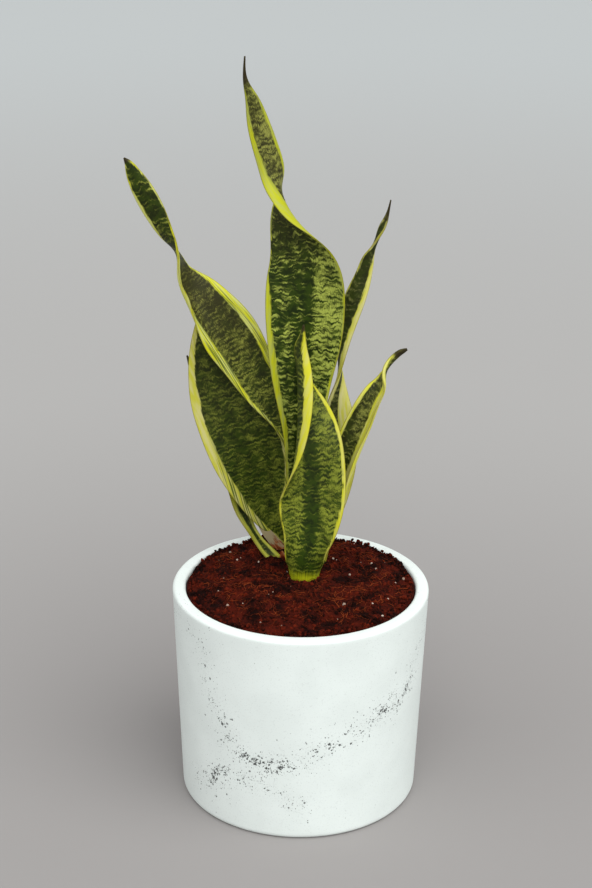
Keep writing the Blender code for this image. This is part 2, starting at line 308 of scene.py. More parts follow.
# --- numbers -------------------------------------------------------------------------------------------


def spline(knots, values, at):
    """A natural cubic spline through values at knots, read at the places in at."""
    gaps = np.diff(knots)
    slopes = np.diff(values, axis=0) / gaps[:, None]
    count = len(knots)
    system = np.eye(count)
    bends = np.zeros_like(values)
    for i in range(1, count - 1):
        system[i, i - 1 : i + 2] = gaps[i - 1], 2 * (gaps[i - 1] + gaps[i]), gaps[i]
        bends[i] = 6 * (slopes[i] - slopes[i - 1])
    bends = np.linalg.solve(system, bends)
    k = np.clip(np.searchsorted(knots, at, side="right") - 1, 0, count - 2)
    right = ((at - knots[k]) / gaps[k])[:, None]
    left = 1 - right
    square = (gaps[k] ** 2)[:, None] / 6
    return (
        left * values[k]
        + right * values[k + 1]
        + square * ((left**3 - left) * bends[k] + (right**3 - right) * bends[k + 1])
    )


def smooth_step(low, high, values):
    """0 below low and 1 above high, with a smooth rise between."""
    share = np.clip((values - low) / (high - low), 0, 1)
    return share * share * (3 - 2 * share)


class Lumps:
    """Smooth noise of -1 to 1: random values on a lattice, blended between its corners."""

    SIZE = 48

    def __init__(self, seed):
        self.table = np.random.default_rng(seed).uniform(-1, 1, (self.SIZE,) * 3)

    def __call__(self, points, size):
        """The noise at points, with lumps about size across."""
        places = np.asarray(points, float) / size + 1000.0
        cell = np.floor(places).astype(int)
        share = places - cell
        share = share * share * (3 - 2 * share)
        total = np.zeros(places.shape[:-1])
        for corner in np.ndindex(2, 2, 2):
            index = tuple(((cell + corner) % self.SIZE)[..., i] for i in range(3))
            weight = np.where(corner, share, 1 - share).prod(axis=-1)
            total += weight * self.table[index]
        return total


# --- meshes --------------------------------------------------------------------------------------------


def put_in_scene(name, points, faces, paint, attributes=None):
    """A piece made from whole arrays of points and faces, shaded smooth.

    Each attribute is a name and an array with one number for each point.
    """
    mesh = bpy.data.meshes.new(name)
    mesh.from_pydata(points.reshape(-1, 3), [], faces)
    mesh.shade_smooth()
    for key, values in (attributes or {}).items():
        layer = mesh.attributes.new(key, "FLOAT", "POINT")
        layer.data.foreach_set("value", np.asarray(values, np.float32).ravel())
    mesh.materials.append(paint.material)
    piece = bpy.data.objects.new(name, mesh)
    bpy.context.scene.collection.objects.link(piece)
    return piece


def tube_faces(rings, around):
    """Quads between rings of points, each ring joined to the next, and one face that closes each end.

    They point outwards where a ring runs counter-clockwise as seen from the last one.
    """
    i = np.arange(rings - 1)[:, None] * around
    j = np.arange(around)[None, :]
    k = (j + 1) % around
    quads = np.stack([i + j, i + k, i + around + k, i + around + j], axis=-1).reshape(-1, 4)
    first = list(range(around))[::-1]
    last = list(range((rings - 1) * around, rings * around))
    return quads.tolist() + [first, last]


def turned_over(faces):
    """The same faces pointing the other way, for rings that run clockwise."""
    return [face[::-1] for face in faces]


def scattered(name, shape, faces, places, sizes, turns, paint, tones):
    """Copies of a small shape, each stretched by its sizes, turned and put in its place."""
    points = np.einsum("nij,nmj->nmi", turns, shape[None] * sizes[:, None]) + places[:, None]
    starts = np.arange(len(places)) * len(shape)
    all_faces = (starts[:, None, None] + np.array(faces)[None]).reshape(-1, len(faces[0])).tolist()
    tone = np.repeat(tones, len(shape))
    return put_in_scene(name, points, all_faces, paint, {"tone": tone})


def random_turns(rng, count):
    """Rotation matrices from random unit quaternions."""
    q = rng.normal(size=(count, 4))
    w, x, y, z = (q / np.linalg.norm(q, axis=1)[:, None]).T
    rows = [
        [1 - 2 * (y * y + z * z), 2 * (x * y - z * w), 2 * (x * z + y * w)],
        [2 * (x * y + z * w), 1 - 2 * (x * x + z * z), 2 * (y * z - x * w)],
        [2 * (x * z - y * w), 2 * (y * z + x * w), 1 - 2 * (x * x + y * y)],
    ]
    return np.moveaxis(np.array(rows), -1, 0)


def crumb_shape():
    """An octahedron whose faces are split in four and pushed onto a sphere: 18 points and 32 faces."""
    corners = np.array([(1, 0, 0), (-1, 0, 0), (0, 1, 0), (0, -1, 0), (0, 0, 1), (0, 0, -1)], float)
    points = [tuple(c) for c in corners]
    faces = []
    for x in (0, 1):
        for y in (2, 3):
            for z in (4, 5):
                a, b, c = corners[x], corners[y], corners[z]
                middles = [tuple((p + q) / math.sqrt(2)) for p, q in ((a, b), (b, c), (c, a))]
                points += [m for m in middles if m not in points]
                ab, bc, ca = (points.index(m) for m in middles)
                split = [(x, ab, ca), (ab, y, bc), (ca, bc, z), (ab, bc, ca)]
                outward = (x + y + z) % 2 == 0
                faces += split if outward else [f[::-1] for f in split]
    return np.array(points), faces


# --- materials -----------------------------------------------------------------------------------------

# Places of the colour sockets of a Mix node, whose numbers and vectors have sockets of the same names.
MIX_SHARE = 0
MIX_FIRST = 6
MIX_SECOND = 7
MIX_RESULT = 2


class Value:
    """A socket that carries a number. Arithmetic on it adds Math nodes."""

    def __init__(self, paint, socket):
        self.paint = paint
        self.socket = socket

    def math(self, operation, *values):
        return self.paint.node("ShaderNodeMath", {"operation": operation}, *values)

    def __add__(self, other):
        return self.math("ADD", self, other)

    def __sub__(self, other):
        return self.math("SUBTRACT", self, other)

    def __rsub__(self, other):
        return self.math("SUBTRACT", other, self)

    def __mul__(self, other):
        return self.math("MULTIPLY", self, other)

    def __truediv__(self, other):
        return self.math("DIVIDE", self, other)

    def __rtruediv__(self, other):
        return self.math("DIVIDE", other, self)

    def __abs__(self):
        return self.math("ABSOLUTE", self)

    __radd__ = __add__
    __rmul__ = __mul__

    def low(self, other):
        return self.math("MINIMUM", self, other)

    def high(self, other):
        return self.math("MAXIMUM", self, other)

    def step(self, start, end):
        """0 where this is at start and 1 where it is at end, with a smooth rise between."""
        settings = {"interpolation_type": "SMOOTHSTEP"}
        return self.paint.node("ShaderNodeMapRange", settings, self, start, end, 0.0, 1.0)


class Paint:
    """A material, its Principled shader, and the nodes that feed it."""

    def __init__(self, name, **constants):
        self.material = bpy.data.materials.new(name)
        self.material.use_nodes = True
        self.tree = self.material.node_tree
        self.shader = self.tree.nodes["Principled BSDF"]
        for socket, value in constants.items():
            self.shader.inputs[socket.replace("_", " ")].default_value = value

    def node(self, kind, settings, *values, output=0, places=None, **named):
        """A node of a kind: its settings first, then its sockets by order, place or name."""
        made = self.tree.nodes.new(kind)
        for key, value in settings.items():
            setattr(made, key, value)
        sockets = dict(enumerate(values))
        sockets.update(places or {})
        sockets.update({key.replace("_", " "): value for key, value in named.items()})
        for key, value in sockets.items():
            if isinstance(value, Value):
                self.tree.links.new(value.socket, made.inputs[key])
            else:
                made.inputs[key].default_value = value
        return Value(self, made.outputs[output])

    def attribute(self, name):
        return self.node("ShaderNodeAttribute", {"attribute_name": name}, output="Fac")

    def place(self):
        """The point on the piece, in millimetres."""
        here = self.node("ShaderNodeTexCoord", {}, output="Object")
        return self.node("ShaderNodeVectorMath", {"operation": "SCALE"}, here, Scale=1 / MM)

    def vector(self, x, y, z):
        return self.node("ShaderNodeCombineXYZ", {}, x, y, z)

    def noise(self, at, size, detail=2.0, rough=0.5):
        """Smooth noise about 0.5 over a place, with lumps about size across."""
        settings = dict(Vector=at, Scale=1 / size, Detail=detail, Roughness=rough)
        return self.node("ShaderNodeTexNoise", {}, **settings)

    def scatter(self, at, size):
        """Points about size apart: how far the nearest is, in shares of size, and its random number."""
        settings = dict(Vector=at, Scale=1 / size)
        distance = self.node("ShaderNodeTexVoronoi", {}, output="Distance", **settings)
        colour = self.node("ShaderNodeTexVoronoi", {}, output="Color", **settings)
        return distance, self.node("ShaderNodeSeparateColor", {}, colour, output="Red")

    def blend(self, share, first, second):
        """A colour that goes from first to second as share goes from 0 to 1."""
        first, second = (c if isinstance(c, Value) else linear(c) for c in (first, second))
        sockets = {MIX_SHARE: share, MIX_FIRST: first, MIX_SECOND: second}
        return self.node("ShaderNodeMix", {"data_type": "RGBA"}, places=sockets, output=MIX_RESULT)

    def feed(self, socket, value):
        self.tree.links.new(value.socket, self.shader.inputs[socket])

    def bump(self, height, strength, distance):
        settings = dict(Height=height, Strength=strength, Distance=distance)
        self.feed("Normal", self.node("ShaderNodeBump", {}, **settings))


BAND_STEP = 2.9  # mm from one light band to the next
LEAF_SHIFT = 97.0  # from one leaf's noises to the next leaf's


def leaf_paint(name, seed, look):
    """A snake plant's blade: jagged light bands across dark green, and yellow margins with green lines.

    Two noises slide the bands along the blade, a fine one that makes their zigzag and a coarse one. A third
    one, stretched across the blade, is then light where it passes a level that falls as the cover grows.
    In the margins the same place on the blade gives the wavering inner edge, the tint and the green lines.
    """
    paint = Paint(name + "_blade", Roughness=0.45, Specular_IOR_Level=0.13)
    across = paint.attribute("across")
    along = paint.attribute("along")

    def spots(wide, lengthwise, long, number, detail=2.0, rough=0.5):
        """Noise with lumps wide mm across the blade and long mm along it, other ones for each number."""
        place = paint.vector(across / wide, lengthwise / long, seed * LEAF_SHIFT + number)
        return paint.noise(place, 1.0, detail, rough)

    fibres = spots(0.8, along, 9.0, 0, 1.0)
    sway = spots(4.5, along, 12.0, 11, 2.0, 0.4)
    slid = along + (fibres - 0.5) * 2.0 + (sway - 0.5) * 7.0
    broken = spots(6.0, slid, 1.6, 23, 2.0, 0.55)
    waves = paint.node("ShaderNodeMath", {"operation": "SINE"}, slid * (2 * math.pi / BAND_STEP))
    bands = broken + waves * 0.07
    patches = spots(8.0, along, 11.0, 37)
    cover = paint.attribute("cover")
    level = 0.5 + (0.5 - cover) * 0.42 - (patches - 0.5) * 0.42
    bronze = paint.attribute("bronze")
    softness = bronze * 0.8 + look["soft"]
    light = ((bands - level) / (softness + 1.0)).step(-0.15, 0.17)
    threads = spots(0.4, along, 3.0, 43, 1.0)
    deep = spots(5.0, slid, 4.0, 51)
    cracks = 1 - abs(spots(9.0, slid, 2.6, 57, 1.0) - 0.5).step(0.0, 0.028)
    ground = paint.blend(deep.step(0.36, 0.64), DEEP_GREEN, DARK_GREEN)
    ground = paint.blend(bronze * 0.8, ground, BRONZE_DARK)
    band = paint.blend(bronze * 0.8, look["band"], BRONZE_LIGHT)
    grain_share = bronze * 1.3 + 1.3
    amount = light * (0.30 + patches * 0.85 + (threads - 0.5) * grain_share) * (1 - cracks * 0.7)
    blade = paint.blend(amount.step(0.02, 0.90), ground, band)

    depth = paint.attribute("inside")
    waver = paint.noise(paint.vector(along / 6.0, across / 30.0, seed * LEAF_SHIFT + 61), 1.0)
    lines = spots(0.55, along, 32.0, 71, 1.0)
    inside = depth + (waver - 0.5) * 2.2 + (lines - 0.5) * 2.2
    margin = inside.step(-0.30, 0.50)
    tint = spots(2.2, along, 16.0, 83)
    pale = paint.blend(tint.step(0.36, 0.66), *look["rim"])
    stripes = paint.attribute("stripes")
    reach = depth - stripes * 2.4
    green_lines = lines.step(0.45, 0.60) * (1 - reach.step(-1.2, 1.4)) * stripes.low(1.0)
    rim = paint.blend(green_lines, pale, LEAF_LINE)
    colour = paint.blend(margin, blade, rim)

    edge = paint.attribute("edge") + (waver - 0.5) * 0.5
    colour = paint.blend((1 - edge.step(0.10, 0.55)) * 0.6, colour, EDGE_OLIVE)
    base = 1 - (along + (waver - 0.5) * 10 + (lines - 0.5) * 8 - edge * 0.15).step(2.5, 11.0)
    colour = paint.blend(base * 0.8, colour, BASE_YELLOW)
    to_tip = paint.attribute("to_tip")
    tip = 1 - (to_tip + (waver - 0.5) * 5).step(look["tip"] * 0.45, look["tip"])
    colour = paint.blend(tip * 0.92, colour, TIP_BROWN)
    paint.feed("Base Color", colour)

    ribs = spots(0.5, along, 30.0, 91, 1.0)
    grain = spots(0.35, along, 0.5, 95)
    paint.bump(ribs * 0.7 + grain * 0.3 + light * 0.12, 0.35, 0.0003)
    paint.feed("Roughness", 0.40 + grain * 0.14 + light * 0.05)
    return paint


def pot_paint():
    """White cast stone: faint clouds, and black pores that gather along the drifts round the wall.

    A pore is a ragged dot round a scattered point: a dent in the bump, painted black as the shade inside it.
    It shows where its own random number is under the drift, and it is larger where the drift is denser.
    """
    paint = Paint("white_cast_stone", Roughness=0.8, Specular_IOR_Level=0.15)
    place = paint.place()
    drift = paint.attribute("drift")
    clouds = paint.noise(place, 26.0, 3.0)
    wobble = paint.noise(place, 0.9, 2.0) - 0.5
    gather = paint.noise(place, 6.0, 2.0).step(0.36, 0.62)
    dense = drift * (0.25 + gather * 0.95)
    shaded_pores = None
    for size, share, reach in ((1.0, 0.85, 0.34), (1.8, 0.75, 0.32), (3.2, 0.50, 0.32)):
        distance, chance = paint.scatter(place, size)
        wanted = (dense * share + 0.012 - chance).step(0.0, 0.02)
        radius = reach * (0.45 + chance * 0.6 + dense * 0.30)
        dots = wanted * (1 - (distance + wobble * 0.55 - radius).step(-0.07, 0.07))
        shaded_pores = dots if shaded_pores is None else shaded_pores.high(dots)
    ragged = paint.noise(place, 2.8, 4.0, 0.68)
    shaded_pores = shaded_pores.high((ragged + dense * 0.17).step(0.735, 0.765))
    white = paint.blend(clouds.step(0.3, 0.7), (228, 235, 232), (234, 241, 238))
    dust = paint.noise(place, 0.8, 2.0).step(0.58, 0.70) * (0.12 + drift * 0.22)
    white = paint.blend(dust, white, (120, 120, 120))
    # painted shade: the pores are painted near black for the shade inside the pits
    paint.feed("Base Color", paint.blend(shaded_pores * 0.9, white, (36, 35, 35)))
    skin = paint.noise(place, 0.5, 3.0)
    paint.bump(skin * 0.08 + clouds * 0.2 - shaded_pores, 0.5, 0.0004)
    paint.feed("Roughness", 0.62 + skin * 0.12 + shaded_pores * 0.2)
    return paint


def soil_paint(name, dark, light):
    """Damp crumbled coir: each crumb has its own tone, with finer specks over it."""
    paint = Paint(name, Roughness=0.95, Specular_IOR_Level=0.08)
    place = paint.place()
    tone = paint.attribute("tone")
    specks = paint.noise(place, 1.1, 4.0, 0.65)
    damp = paint.noise(place, 11.0, 3.0, 0.6)
    share = tone * 0.6 + (specks - 0.5) * 1.7 + (damp - 0.5) * 2.4 + 0.16
    paint.feed("Base Color", paint.blend(share.step(0.0, 1.0), dark, light))
    paint.bump(specks, 0.8, 0.0006)
    return paint


# --- leaves --------------------------------------------------------------------------------------------

RING_STEP = 0.0011
RIPPLE_SEED = 3
FACE_STEPS = 30  # across each face of a leaf
EDGE_ROUNDING = 14  # the larger, the nearer to the edge the faces start to close
LEAST_SIDE = 2.5  # mm from the midrib, where the middle's cover starts to give way to the side's
FULL_SIDE = 6.5


def leaf_path(rows):
    """The stations in metres and radians, with the buried foot added, splined at even steps."""
    rows = np.array(rows, float)
    lean = (rows[1, :2] - rows[0, :2]) / (rows[1, 2] - rows[0, 2])
    foot = rows[0].copy()
    foot[2] = -BURIED_DEPTH / MM
    foot[:2] -= FOOT_LEAN * lean * (rows[0, 2] - foot[2])
    rows = np.vstack([foot, rows])
    rows[:, :4] *= MM
    rows[:, 2] += POT_HEIGHT
    rows[:, 4:7] = np.radians(rows[:, 4:7])
    knots = np.concatenate([[0.0], np.cumsum(np.linalg.norm(np.diff(rows[:, :3], axis=0), axis=1))])
    places = np.linspace(0.0, knots[-1], int(round(knots[-1] / RING_STEP)) + 1)
    values = spline(knots, rows, places)
    values[:, 3] = values[:, 3].clip(rows[-1, 3])
    return places, values


def leaf_surface(places, values, thicknesses, seed):
    """A strip along the leaf's path: in section two arcs leave the midrib, with a skin on each side.

    The angle t goes once round the section. The place across is u = -cos t, and the skin's height over the
    strip is half the thickness, which falls from the middle to the edges and closes round them. The edges
    wave by a noise of the place along the leaf, times the square of u.
    """
    path = values[:, :3]
    width, facing, curl_left, curl_right = values[:, 3:7].T

    along = np.gradient(path, places, axis=0)
    along /= np.linalg.norm(along, axis=1)[:, None]
    faces_to = np.column_stack([np.cos(facing), np.sin(facing), np.zeros_like(facing)])
    across = np.cross(along, faces_to)
    across /= np.linalg.norm(across, axis=1)[:, None]
    up = np.cross(across, along)

    fleshy = np.exp(-(((places - BURIED_DEPTH).clip(0) / FLESHY_LENGTH) ** 2))
    at_foot, in_blade = thicknesses
    base = np.minimum(at_foot, BASE_SHARE * width)
    middle = in_blade + (base - in_blade) * fleshy
    middle = np.minimum(middle, TIP_SHARE * width)[:, None]

    t = np.linspace(0, 2 * np.pi, 2 * FACE_STEPS, endpoint=False)[None, :]
    u = -np.cos(t)
    upper = np.where(t <= np.pi, 1.0, -1.0)
    side = np.where(u < 0, -1.0, 1.0)
    curl = np.where(u < 0, curl_left[:, None], curl_right[:, None])
    curl = np.where(np.abs(curl) < FLATTEST_CURL, FLATTEST_CURL, curl)
    turn = curl * np.abs(u)
    half = width[:, None] / 2
    offset_across = half * side * np.sin(turn) / curl
    offset_up = half * (1 - np.cos(turn)) / curl
    skin = path[:, None] + offset_across[..., None] * across[:, None] + offset_up[..., None] * up[:, None]
    normal = (-side * np.sin(turn))[..., None] * across[:, None] + np.cos(turn)[..., None] * up[:, None]
    thickness = middle * (EDGE_SHARE + (1 - EDGE_SHARE) * (1 - u**2))
    closing = np.sqrt(np.clip(1 - np.abs(u) ** EDGE_ROUNDING, 0, 1))
    lane = np.stack([places[:, None] + 0 * u, 0.5 * RIPPLE_LENGTH * side + 0 * places[:, None]], axis=-1)
    lane = np.concatenate([lane, np.full((*lane.shape[:2], 1), seed * RIPPLE_LENGTH)], axis=-1)
    wave = RIPPLE * Lumps(RIPPLE_SEED)(lane, RIPPLE_LENGTH) * u**2 * (1 - fleshy)[:, None]
    points = skin + (upper * closing * thickness / 2 + wave)[..., None] * normal
    return points, u, half


def make_leaf(name, seed, rows, look):
    """A blade's surface, and for its material the place across, along and from the edges, all in mm."""
    places, values = leaf_path(rows)
    points, u, half = leaf_surface(places, values, (BASE_THICKNESS, BLADE_THICKNESS), seed)
    margin_left, margin_right = values[:, 7:].T
    across_mm = half * u / MM
    along_mm = (places[:, None] - BURIED_DEPTH + 0 * u) / MM
    heights = (values[:, 2] - POT_HEIGHT) / MM
    table = np.array(look["rows"], float)
    columns = [np.interp(heights, table[:, 0], column)[:, None] for column in table[:, 1:].T]
    left, centre, right, bronze, stripes = columns
    sides = smooth_step(LEAST_SIDE, FULL_SIDE, np.abs(across_mm))
    cover = centre + sides * (np.where(across_mm < 0, left, right) - centre)
    from_left = margin_left[:, None] - half * (1 + u) / MM
    from_right = margin_right[:, None] - half * (1 - u) / MM
    attributes = {
        "across": across_mm,
        "along": along_mm,
        "to_tip": along_mm[-1:] - along_mm,
        "inside": np.maximum(from_left, from_right),
        "edge": half * (1 - np.abs(u)) / MM,
        "cover": cover,
        "bronze": bronze + 0 * u,
        "stripes": stripes + 0 * u,
    }
    faces = tube_faces(len(places), 2 * FACE_STEPS)
    piece = put_in_scene(name + "_blade", points, faces, leaf_paint(name, seed, look), attributes)
    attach(piece, "root")
    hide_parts(name)


# Dry scales at the foot of the plant: stations as for the leaves, with no margins.
DRY_SCALES = [
    [
        (-8, 35, 0, 6, -75, 30, 30, 0, 0),
        (-12.5, 37.5, 5, 6.5, -72, 25, 25, 0, 0),
        (-18.5, 40.5, 11, 6, -70, 20, 20, 0, 0),
        (-24, 43.5, 18, 4.5, -70, 15, 15, 0, 0),
        (-27.5, 45.5, 24, 1, -70, 10, 10, 0, 0),
    ],
    [
        (-9.5, 23.5, 0, 5.5, -60, 45, 45, 0, 0),
        (-10.2, 24, 3, 5.5, -65, 40, 40, 0, 0),
        (-11, 25, 6, 4, -65, 30, 30, 0, 0),
        (-11.6, 26, 8.5, 0.9, -60, 20, 20, 0, 0),
    ],
    [
        (4, 26, 0, 8, -90, 40, 40, 0, 0),
        (5, 25.5, 4, 7, -90, 35, 35, 0, 0),
        (6.5, 25.5, 8, 4.5, -90, 20, 20, 0, 0),
        (7.5, 25.5, 11, 1, -90, 20, 20, 0, 0),
    ],
]
SCALE_THICKNESS = 0.0007
SCALE_SEED = 20


def dry_scale_paint():
    """Papery dry scale: brown at the foot and pale at the edge, with lengthwise veins."""
    paint = Paint("dry_scale", Roughness=0.85, Specular_IOR_Level=0.1)
    across = paint.attribute("across")
    along = paint.attribute("along")
    veins = paint.noise(paint.vector(across / 0.6, along / 12.0, 5.0), 1.0, 2.0)
    blotch = paint.noise(paint.vector(across / 4.0, along / 5.0, 8.0), 1.0, 3.0)
    brown = paint.blend(veins.step(0.35, 0.65), (104, 44, 18), (160, 84, 40))
    pale = (along * 0.07 + (blotch - 0.5) * 2.4 + (veins - 0.5) * 1.4).step(0.45, 1.15)
    paint.feed("Base Color", paint.blend(pale, brown, (150, 136, 104)))
    paint.bump(veins, 0.5, 0.0004)
    return paint


def make_dry_scales():
    paint = dry_scale_paint()
    thicknesses = (SCALE_THICKNESS, SCALE_THICKNESS)
    for number, rows in enumerate(DRY_SCALES, start=1):
        places, values = leaf_path(rows)
        points, u, half = leaf_surface(places, values, thicknesses, SCALE_SEED + number)
        along = (places[:, None] - BURIED_DEPTH + 0 * u) / MM
        attributes = {"across": half * u / MM, "along": along}
        faces = tube_faces(len(places), 2 * FACE_STEPS)
        piece = put_in_scene(f"dry_scale_{number}", points, faces, paint, attributes)
        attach(piece, "root")


# --- pot -----------------------------------------------------------------------------------------------

POT_AROUND = 320
POLE_RADIUS = 0.0005  # of the small flat face that closes the floor and the base in their middles


def arc(centre, radius, start, end, steps):
    """Points on a circle round centre, from the angle start to the angle end, in degrees."""
    angles = np.radians(np.linspace(start, end, steps + 1))
    return [(centre[0] + radius * math.cos(a), centre[1] + radius * math.sin(a)) for a in angles]


def outer_radius(height):
    return POT_RADIUS - POT_TAPER * (1 - height / POT_HEIGHT)


def run(start, end, steps):
    """Evenly spaced points from start up to, and not with, end."""
    share = np.linspace(0, 1, steps, endpoint=False)[:, None]
    return [tuple(p) for p in np.array(start) * (1 - share) + np.array(end) * share]


def pot_profile():
    """Radius and height from the middle of the floor, up the inside, over the rim and down the outside."""
    inner_top = outer_radius(POT_HEIGHT) - POT_WALL
    inner_low = outer_radius(POT_FLOOR) - POT_WALL
    rim_level = POT_HEIGHT - RIM_ROUNDING
    rim_in = (inner_top + RIM_ROUNDING, rim_level)
    rim_out = (outer_radius(POT_HEIGHT) - RIM_ROUNDING, rim_level)
    foot = (outer_radius(0) - BASE_ROUNDING, BASE_ROUNDING)
    profile = run((POLE_RADIUS, POT_FLOOR), (inner_low, POT_FLOOR), 12)
    profile += run((inner_low, POT_FLOOR), (inner_top, rim_level), 30)
    profile += arc(rim_in, RIM_ROUNDING, 180, 90, 6)
    profile += arc(rim_out, RIM_ROUNDING, 90, 0, 6)
    profile += run((outer_radius(POT_HEIGHT), rim_level), (outer_radius(0), BASE_ROUNDING), 80)[1:]
    profile += arc(foot, BASE_ROUNDING, 0, -90, 6)
    profile += run((foot[0], 0.0), (POLE_RADIUS, 0.0), 12)[1:] + [(POLE_RADIUS, 0.0)]
    return np.array(profile)


# Where the pores gather: degrees from the front, round to the right, height in mm, and how densely.
DRIFTS = [
    [
        (-62, 126, 0.25),
        (-48, 110, 0.45),
        (-45, 90, 0.5),
        (-37, 70, 0.7),
        (-34, 57, 0.8),
        (-28, 52, 0.9),
        (-15, 48, 1.2),
        (-4, 51, 0.9),
        (10, 60, 0.7),
        (22, 66, 0.6),
        (36, 73, 0.7),
        (48, 79, 1.2),
        (58, 84, 0.9),
        (64, 100, 0.5),
        (78, 112, 0.3),
        (105, 100, 0.5),
        (130, 74, 0.9),
        (158, 58, 1.0),
        (190, 62, 0.8),
        (215, 80, 0.9),
        (248, 104, 0.5),
        (282, 120, 0.4),
        (298, 126, 0.25),
    ],
    [
        (-60, 24, 0.3),
        (-48, 26, 1.1),
        (-40, 34, 1.0),
        (-30, 37, 0.8),
        (-18, 35, 0.5),
        (-6, 27, 0.6),
        (4, 22, 0.3),
    ],
    [(128, 28, 0.4), (146, 34, 0.9), (165, 30, 0.7), (188, 22, 0.4)],
    [(230, 60, 0.3), (252, 48, 0.8), (268, 40, 0.5)],
]
DRIFT_WIDTH = 0.0062
HALO_SPREAD = 5  # how many times the square of a drift's width its faint halo has
HALO_SHARE = 0.2


def drift_share(angle, height):
    """How densely the pores gather at an angle and a height.

    The density of each stretch of a drift falls with the distance as a bell curve, with a fainter and wider
    bell curve round it. The densest stretch counts.
    """
    turn = (np.degrees(angle) + 90 + 180) % 360 - 180
    total = np.zeros(np.broadcast(angle, height).shape)
    for line in DRIFTS:
        for (a0, h0, s0), (a1, h1, s1) in zip(line, line[1:]):
            for lap in (-360, 0, 360):
                arc_length = np.radians(turn + lap) * POT_RADIUS
                start = np.radians(a0) * POT_RADIUS, h0 * MM
                step = np.radians(a1 - a0) * POT_RADIUS, (h1 - h0) * MM
                x, y = arc_length - start[0], height - start[1]
                share = np.clip((x * step[0] + y * step[1]) / (step[0] ** 2 + step[1] ** 2), 0, 1)
                square = ((x - share * step[0]) ** 2 + (y - share * step[1]) ** 2) / DRIFT_WIDTH**2
                bell = (1 - HALO_SHARE) * np.exp(-square) + HALO_SHARE * np.exp(-square / HALO_SPREAD)
                total = np.maximum(total, (s0 + (s1 - s0) * share) * bell)
    return total


def make_pot():
    """The profile turned about the pot's axis. The drifts are left off the inside."""
    profile = pot_profile()
    angles = np.linspace(0, 2 * np.pi, POT_AROUND, endpoint=False)
    radius, height = profile[:, 0][:, None], profile[:, 1][:, None]
    points = np.stack([radius * np.cos(angles), radius * np.sin(angles), height + 0 * angles], axis=-1)
    outside = smooth_step(POT_RADIUS - POT_TAPER - 0.001, POT_RADIUS - POT_TAPER, radius)
    drift = drift_share(angles[None, :], height) * outside
    faces = turned_over(tube_faces(len(profile), POT_AROUND))
    piece = put_in_scene("cast_pot", points, faces, pot_paint(), {"drift": drift})
    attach(piece, "root")
    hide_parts("pot")


# --- soil ----------------------------------------------------------------------------------------------

SOIL_AROUND = 420
SOIL_RINGS = 120
SOIL_SEED = 5
SOIL_DROP = 0.0015  # from the rim down to the soil where it meets the wall
SOIL_CROWN = 0.0075  # from there up to the soil in the middle
SOIL_BACK_RISE = 0.0018  # how much higher the soil lies at the back wall
SOIL_SINK = 0.0008  # what the lumps would else add to the soil's height
SOIL_RADIUS = SOIL_HIGH.x
SOIL_EDGE = 0.0004  # from the soil's radius in to its top's last ring, and the radius at its poles
SOIL_SHOULDER = 0.110  # over the bottom, where the side starts to follow the pot's taper
SOIL_LUMPS = Lumps(SOIL_SEED)

COIR_DARK = (20, 5, 3)
COIR_LIGHT = (74, 20, 9)
CRUMB_LIGHT = (92, 27, 11)
STRAND_DARK = (66, 20, 8)
STRAND_LIGHT = (150, 68, 32)
GRAIN_DARK = (120, 90, 72)
GRAIN_LIGHT = (206, 190, 176)

CRUMB_SEED = 21
CRUMBS = 3600
EDGE_CRUMBS = 620
GRAIN_SEED = 33
GRAINS = 48
STRAND_SEED = 47
STRANDS = 520
STRAND_STEPS = 9
STRAND_SIDES = 5


def soil_height(x, y):
    """The dome of the soil, raised a little at the back, with lumps of four sizes on it."""
    share = np.hypot(x, y) / SOIL_RADIUS
    dome = POT_HEIGHT - SOIL_DROP + SOIL_CROWN * (1 - share**2)
    rise = SOIL_BACK_RISE * share**2 * smooth_step(-0.2, 0.8, y / SOIL_RADIUS)
    flat = np.stack([x, y, np.zeros_like(x)], axis=-1)
    lumps = 0.0012 * SOIL_LUMPS(flat, 0.016) + 0.0011 * SOIL_LUMPS(flat + 1, 0.0065)
    lumps = lumps + 0.0008 * np.abs(SOIL_LUMPS(flat + 2, 0.0030)) + 0.0004 * SOIL_LUMPS(flat + 3, 0.0013)
    return dome + rise + lumps - SOIL_SINK


def make_soil_body():
    """The top is a grid of rings from the middle to the wall, and the side and the bottom close it."""
    angles = np.linspace(0, 2 * np.pi, SOIL_AROUND, endpoint=False)[None, :]
    radii = np.linspace(SOIL_EDGE, SOIL_RADIUS - SOIL_EDGE, SOIL_RINGS)[:, None]
    x, y = radii * np.cos(angles), radii * np.sin(angles)
    top = np.stack([x, y, soil_height(x, y)], axis=-1)
    bottom_z = SOIL_LOW.z
    bottom_radius = outer_radius(bottom_z) - POT_WALL - SOIL_GAP
    shoulder = (SOIL_RADIUS - SOIL_EDGE, bottom_z + SOIL_SHOULDER)
    levels = np.array([shoulder, (bottom_radius, bottom_z), (SOIL_EDGE, bottom_z)])
    circle = np.stack([np.cos(angles[0]), np.sin(angles[0])], axis=-1)
    sides = [np.column_stack([r * circle, np.full(SOIL_AROUND, z)]) for r, z in levels]
    points = np.concatenate([top, np.array(sides)])
    tone = 0.5 + 0.5 * SOIL_LUMPS(points + 9, 0.004)
    faces = turned_over(tube_faces(len(points), SOIL_AROUND))
    paint = soil_paint("coir_bed", COIR_DARK, COIR_LIGHT)
    piece = put_in_scene("soil_bed", points, faces, paint, {"tone": tone})
    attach(piece, "root")
    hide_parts("soil")


def on_the_soil(rng, count, reach):
    """Random places on the soil, evenly spread over a disc of a radius."""
    radius = reach * np.sqrt(rng.uniform(0, 1, count))
    angle = rng.uniform(0, 2 * np.pi, count)
    x, y = radius * np.cos(angle), radius * np.sin(angle)
    return np.stack([x, y, soil_height(x, y)], axis=-1)


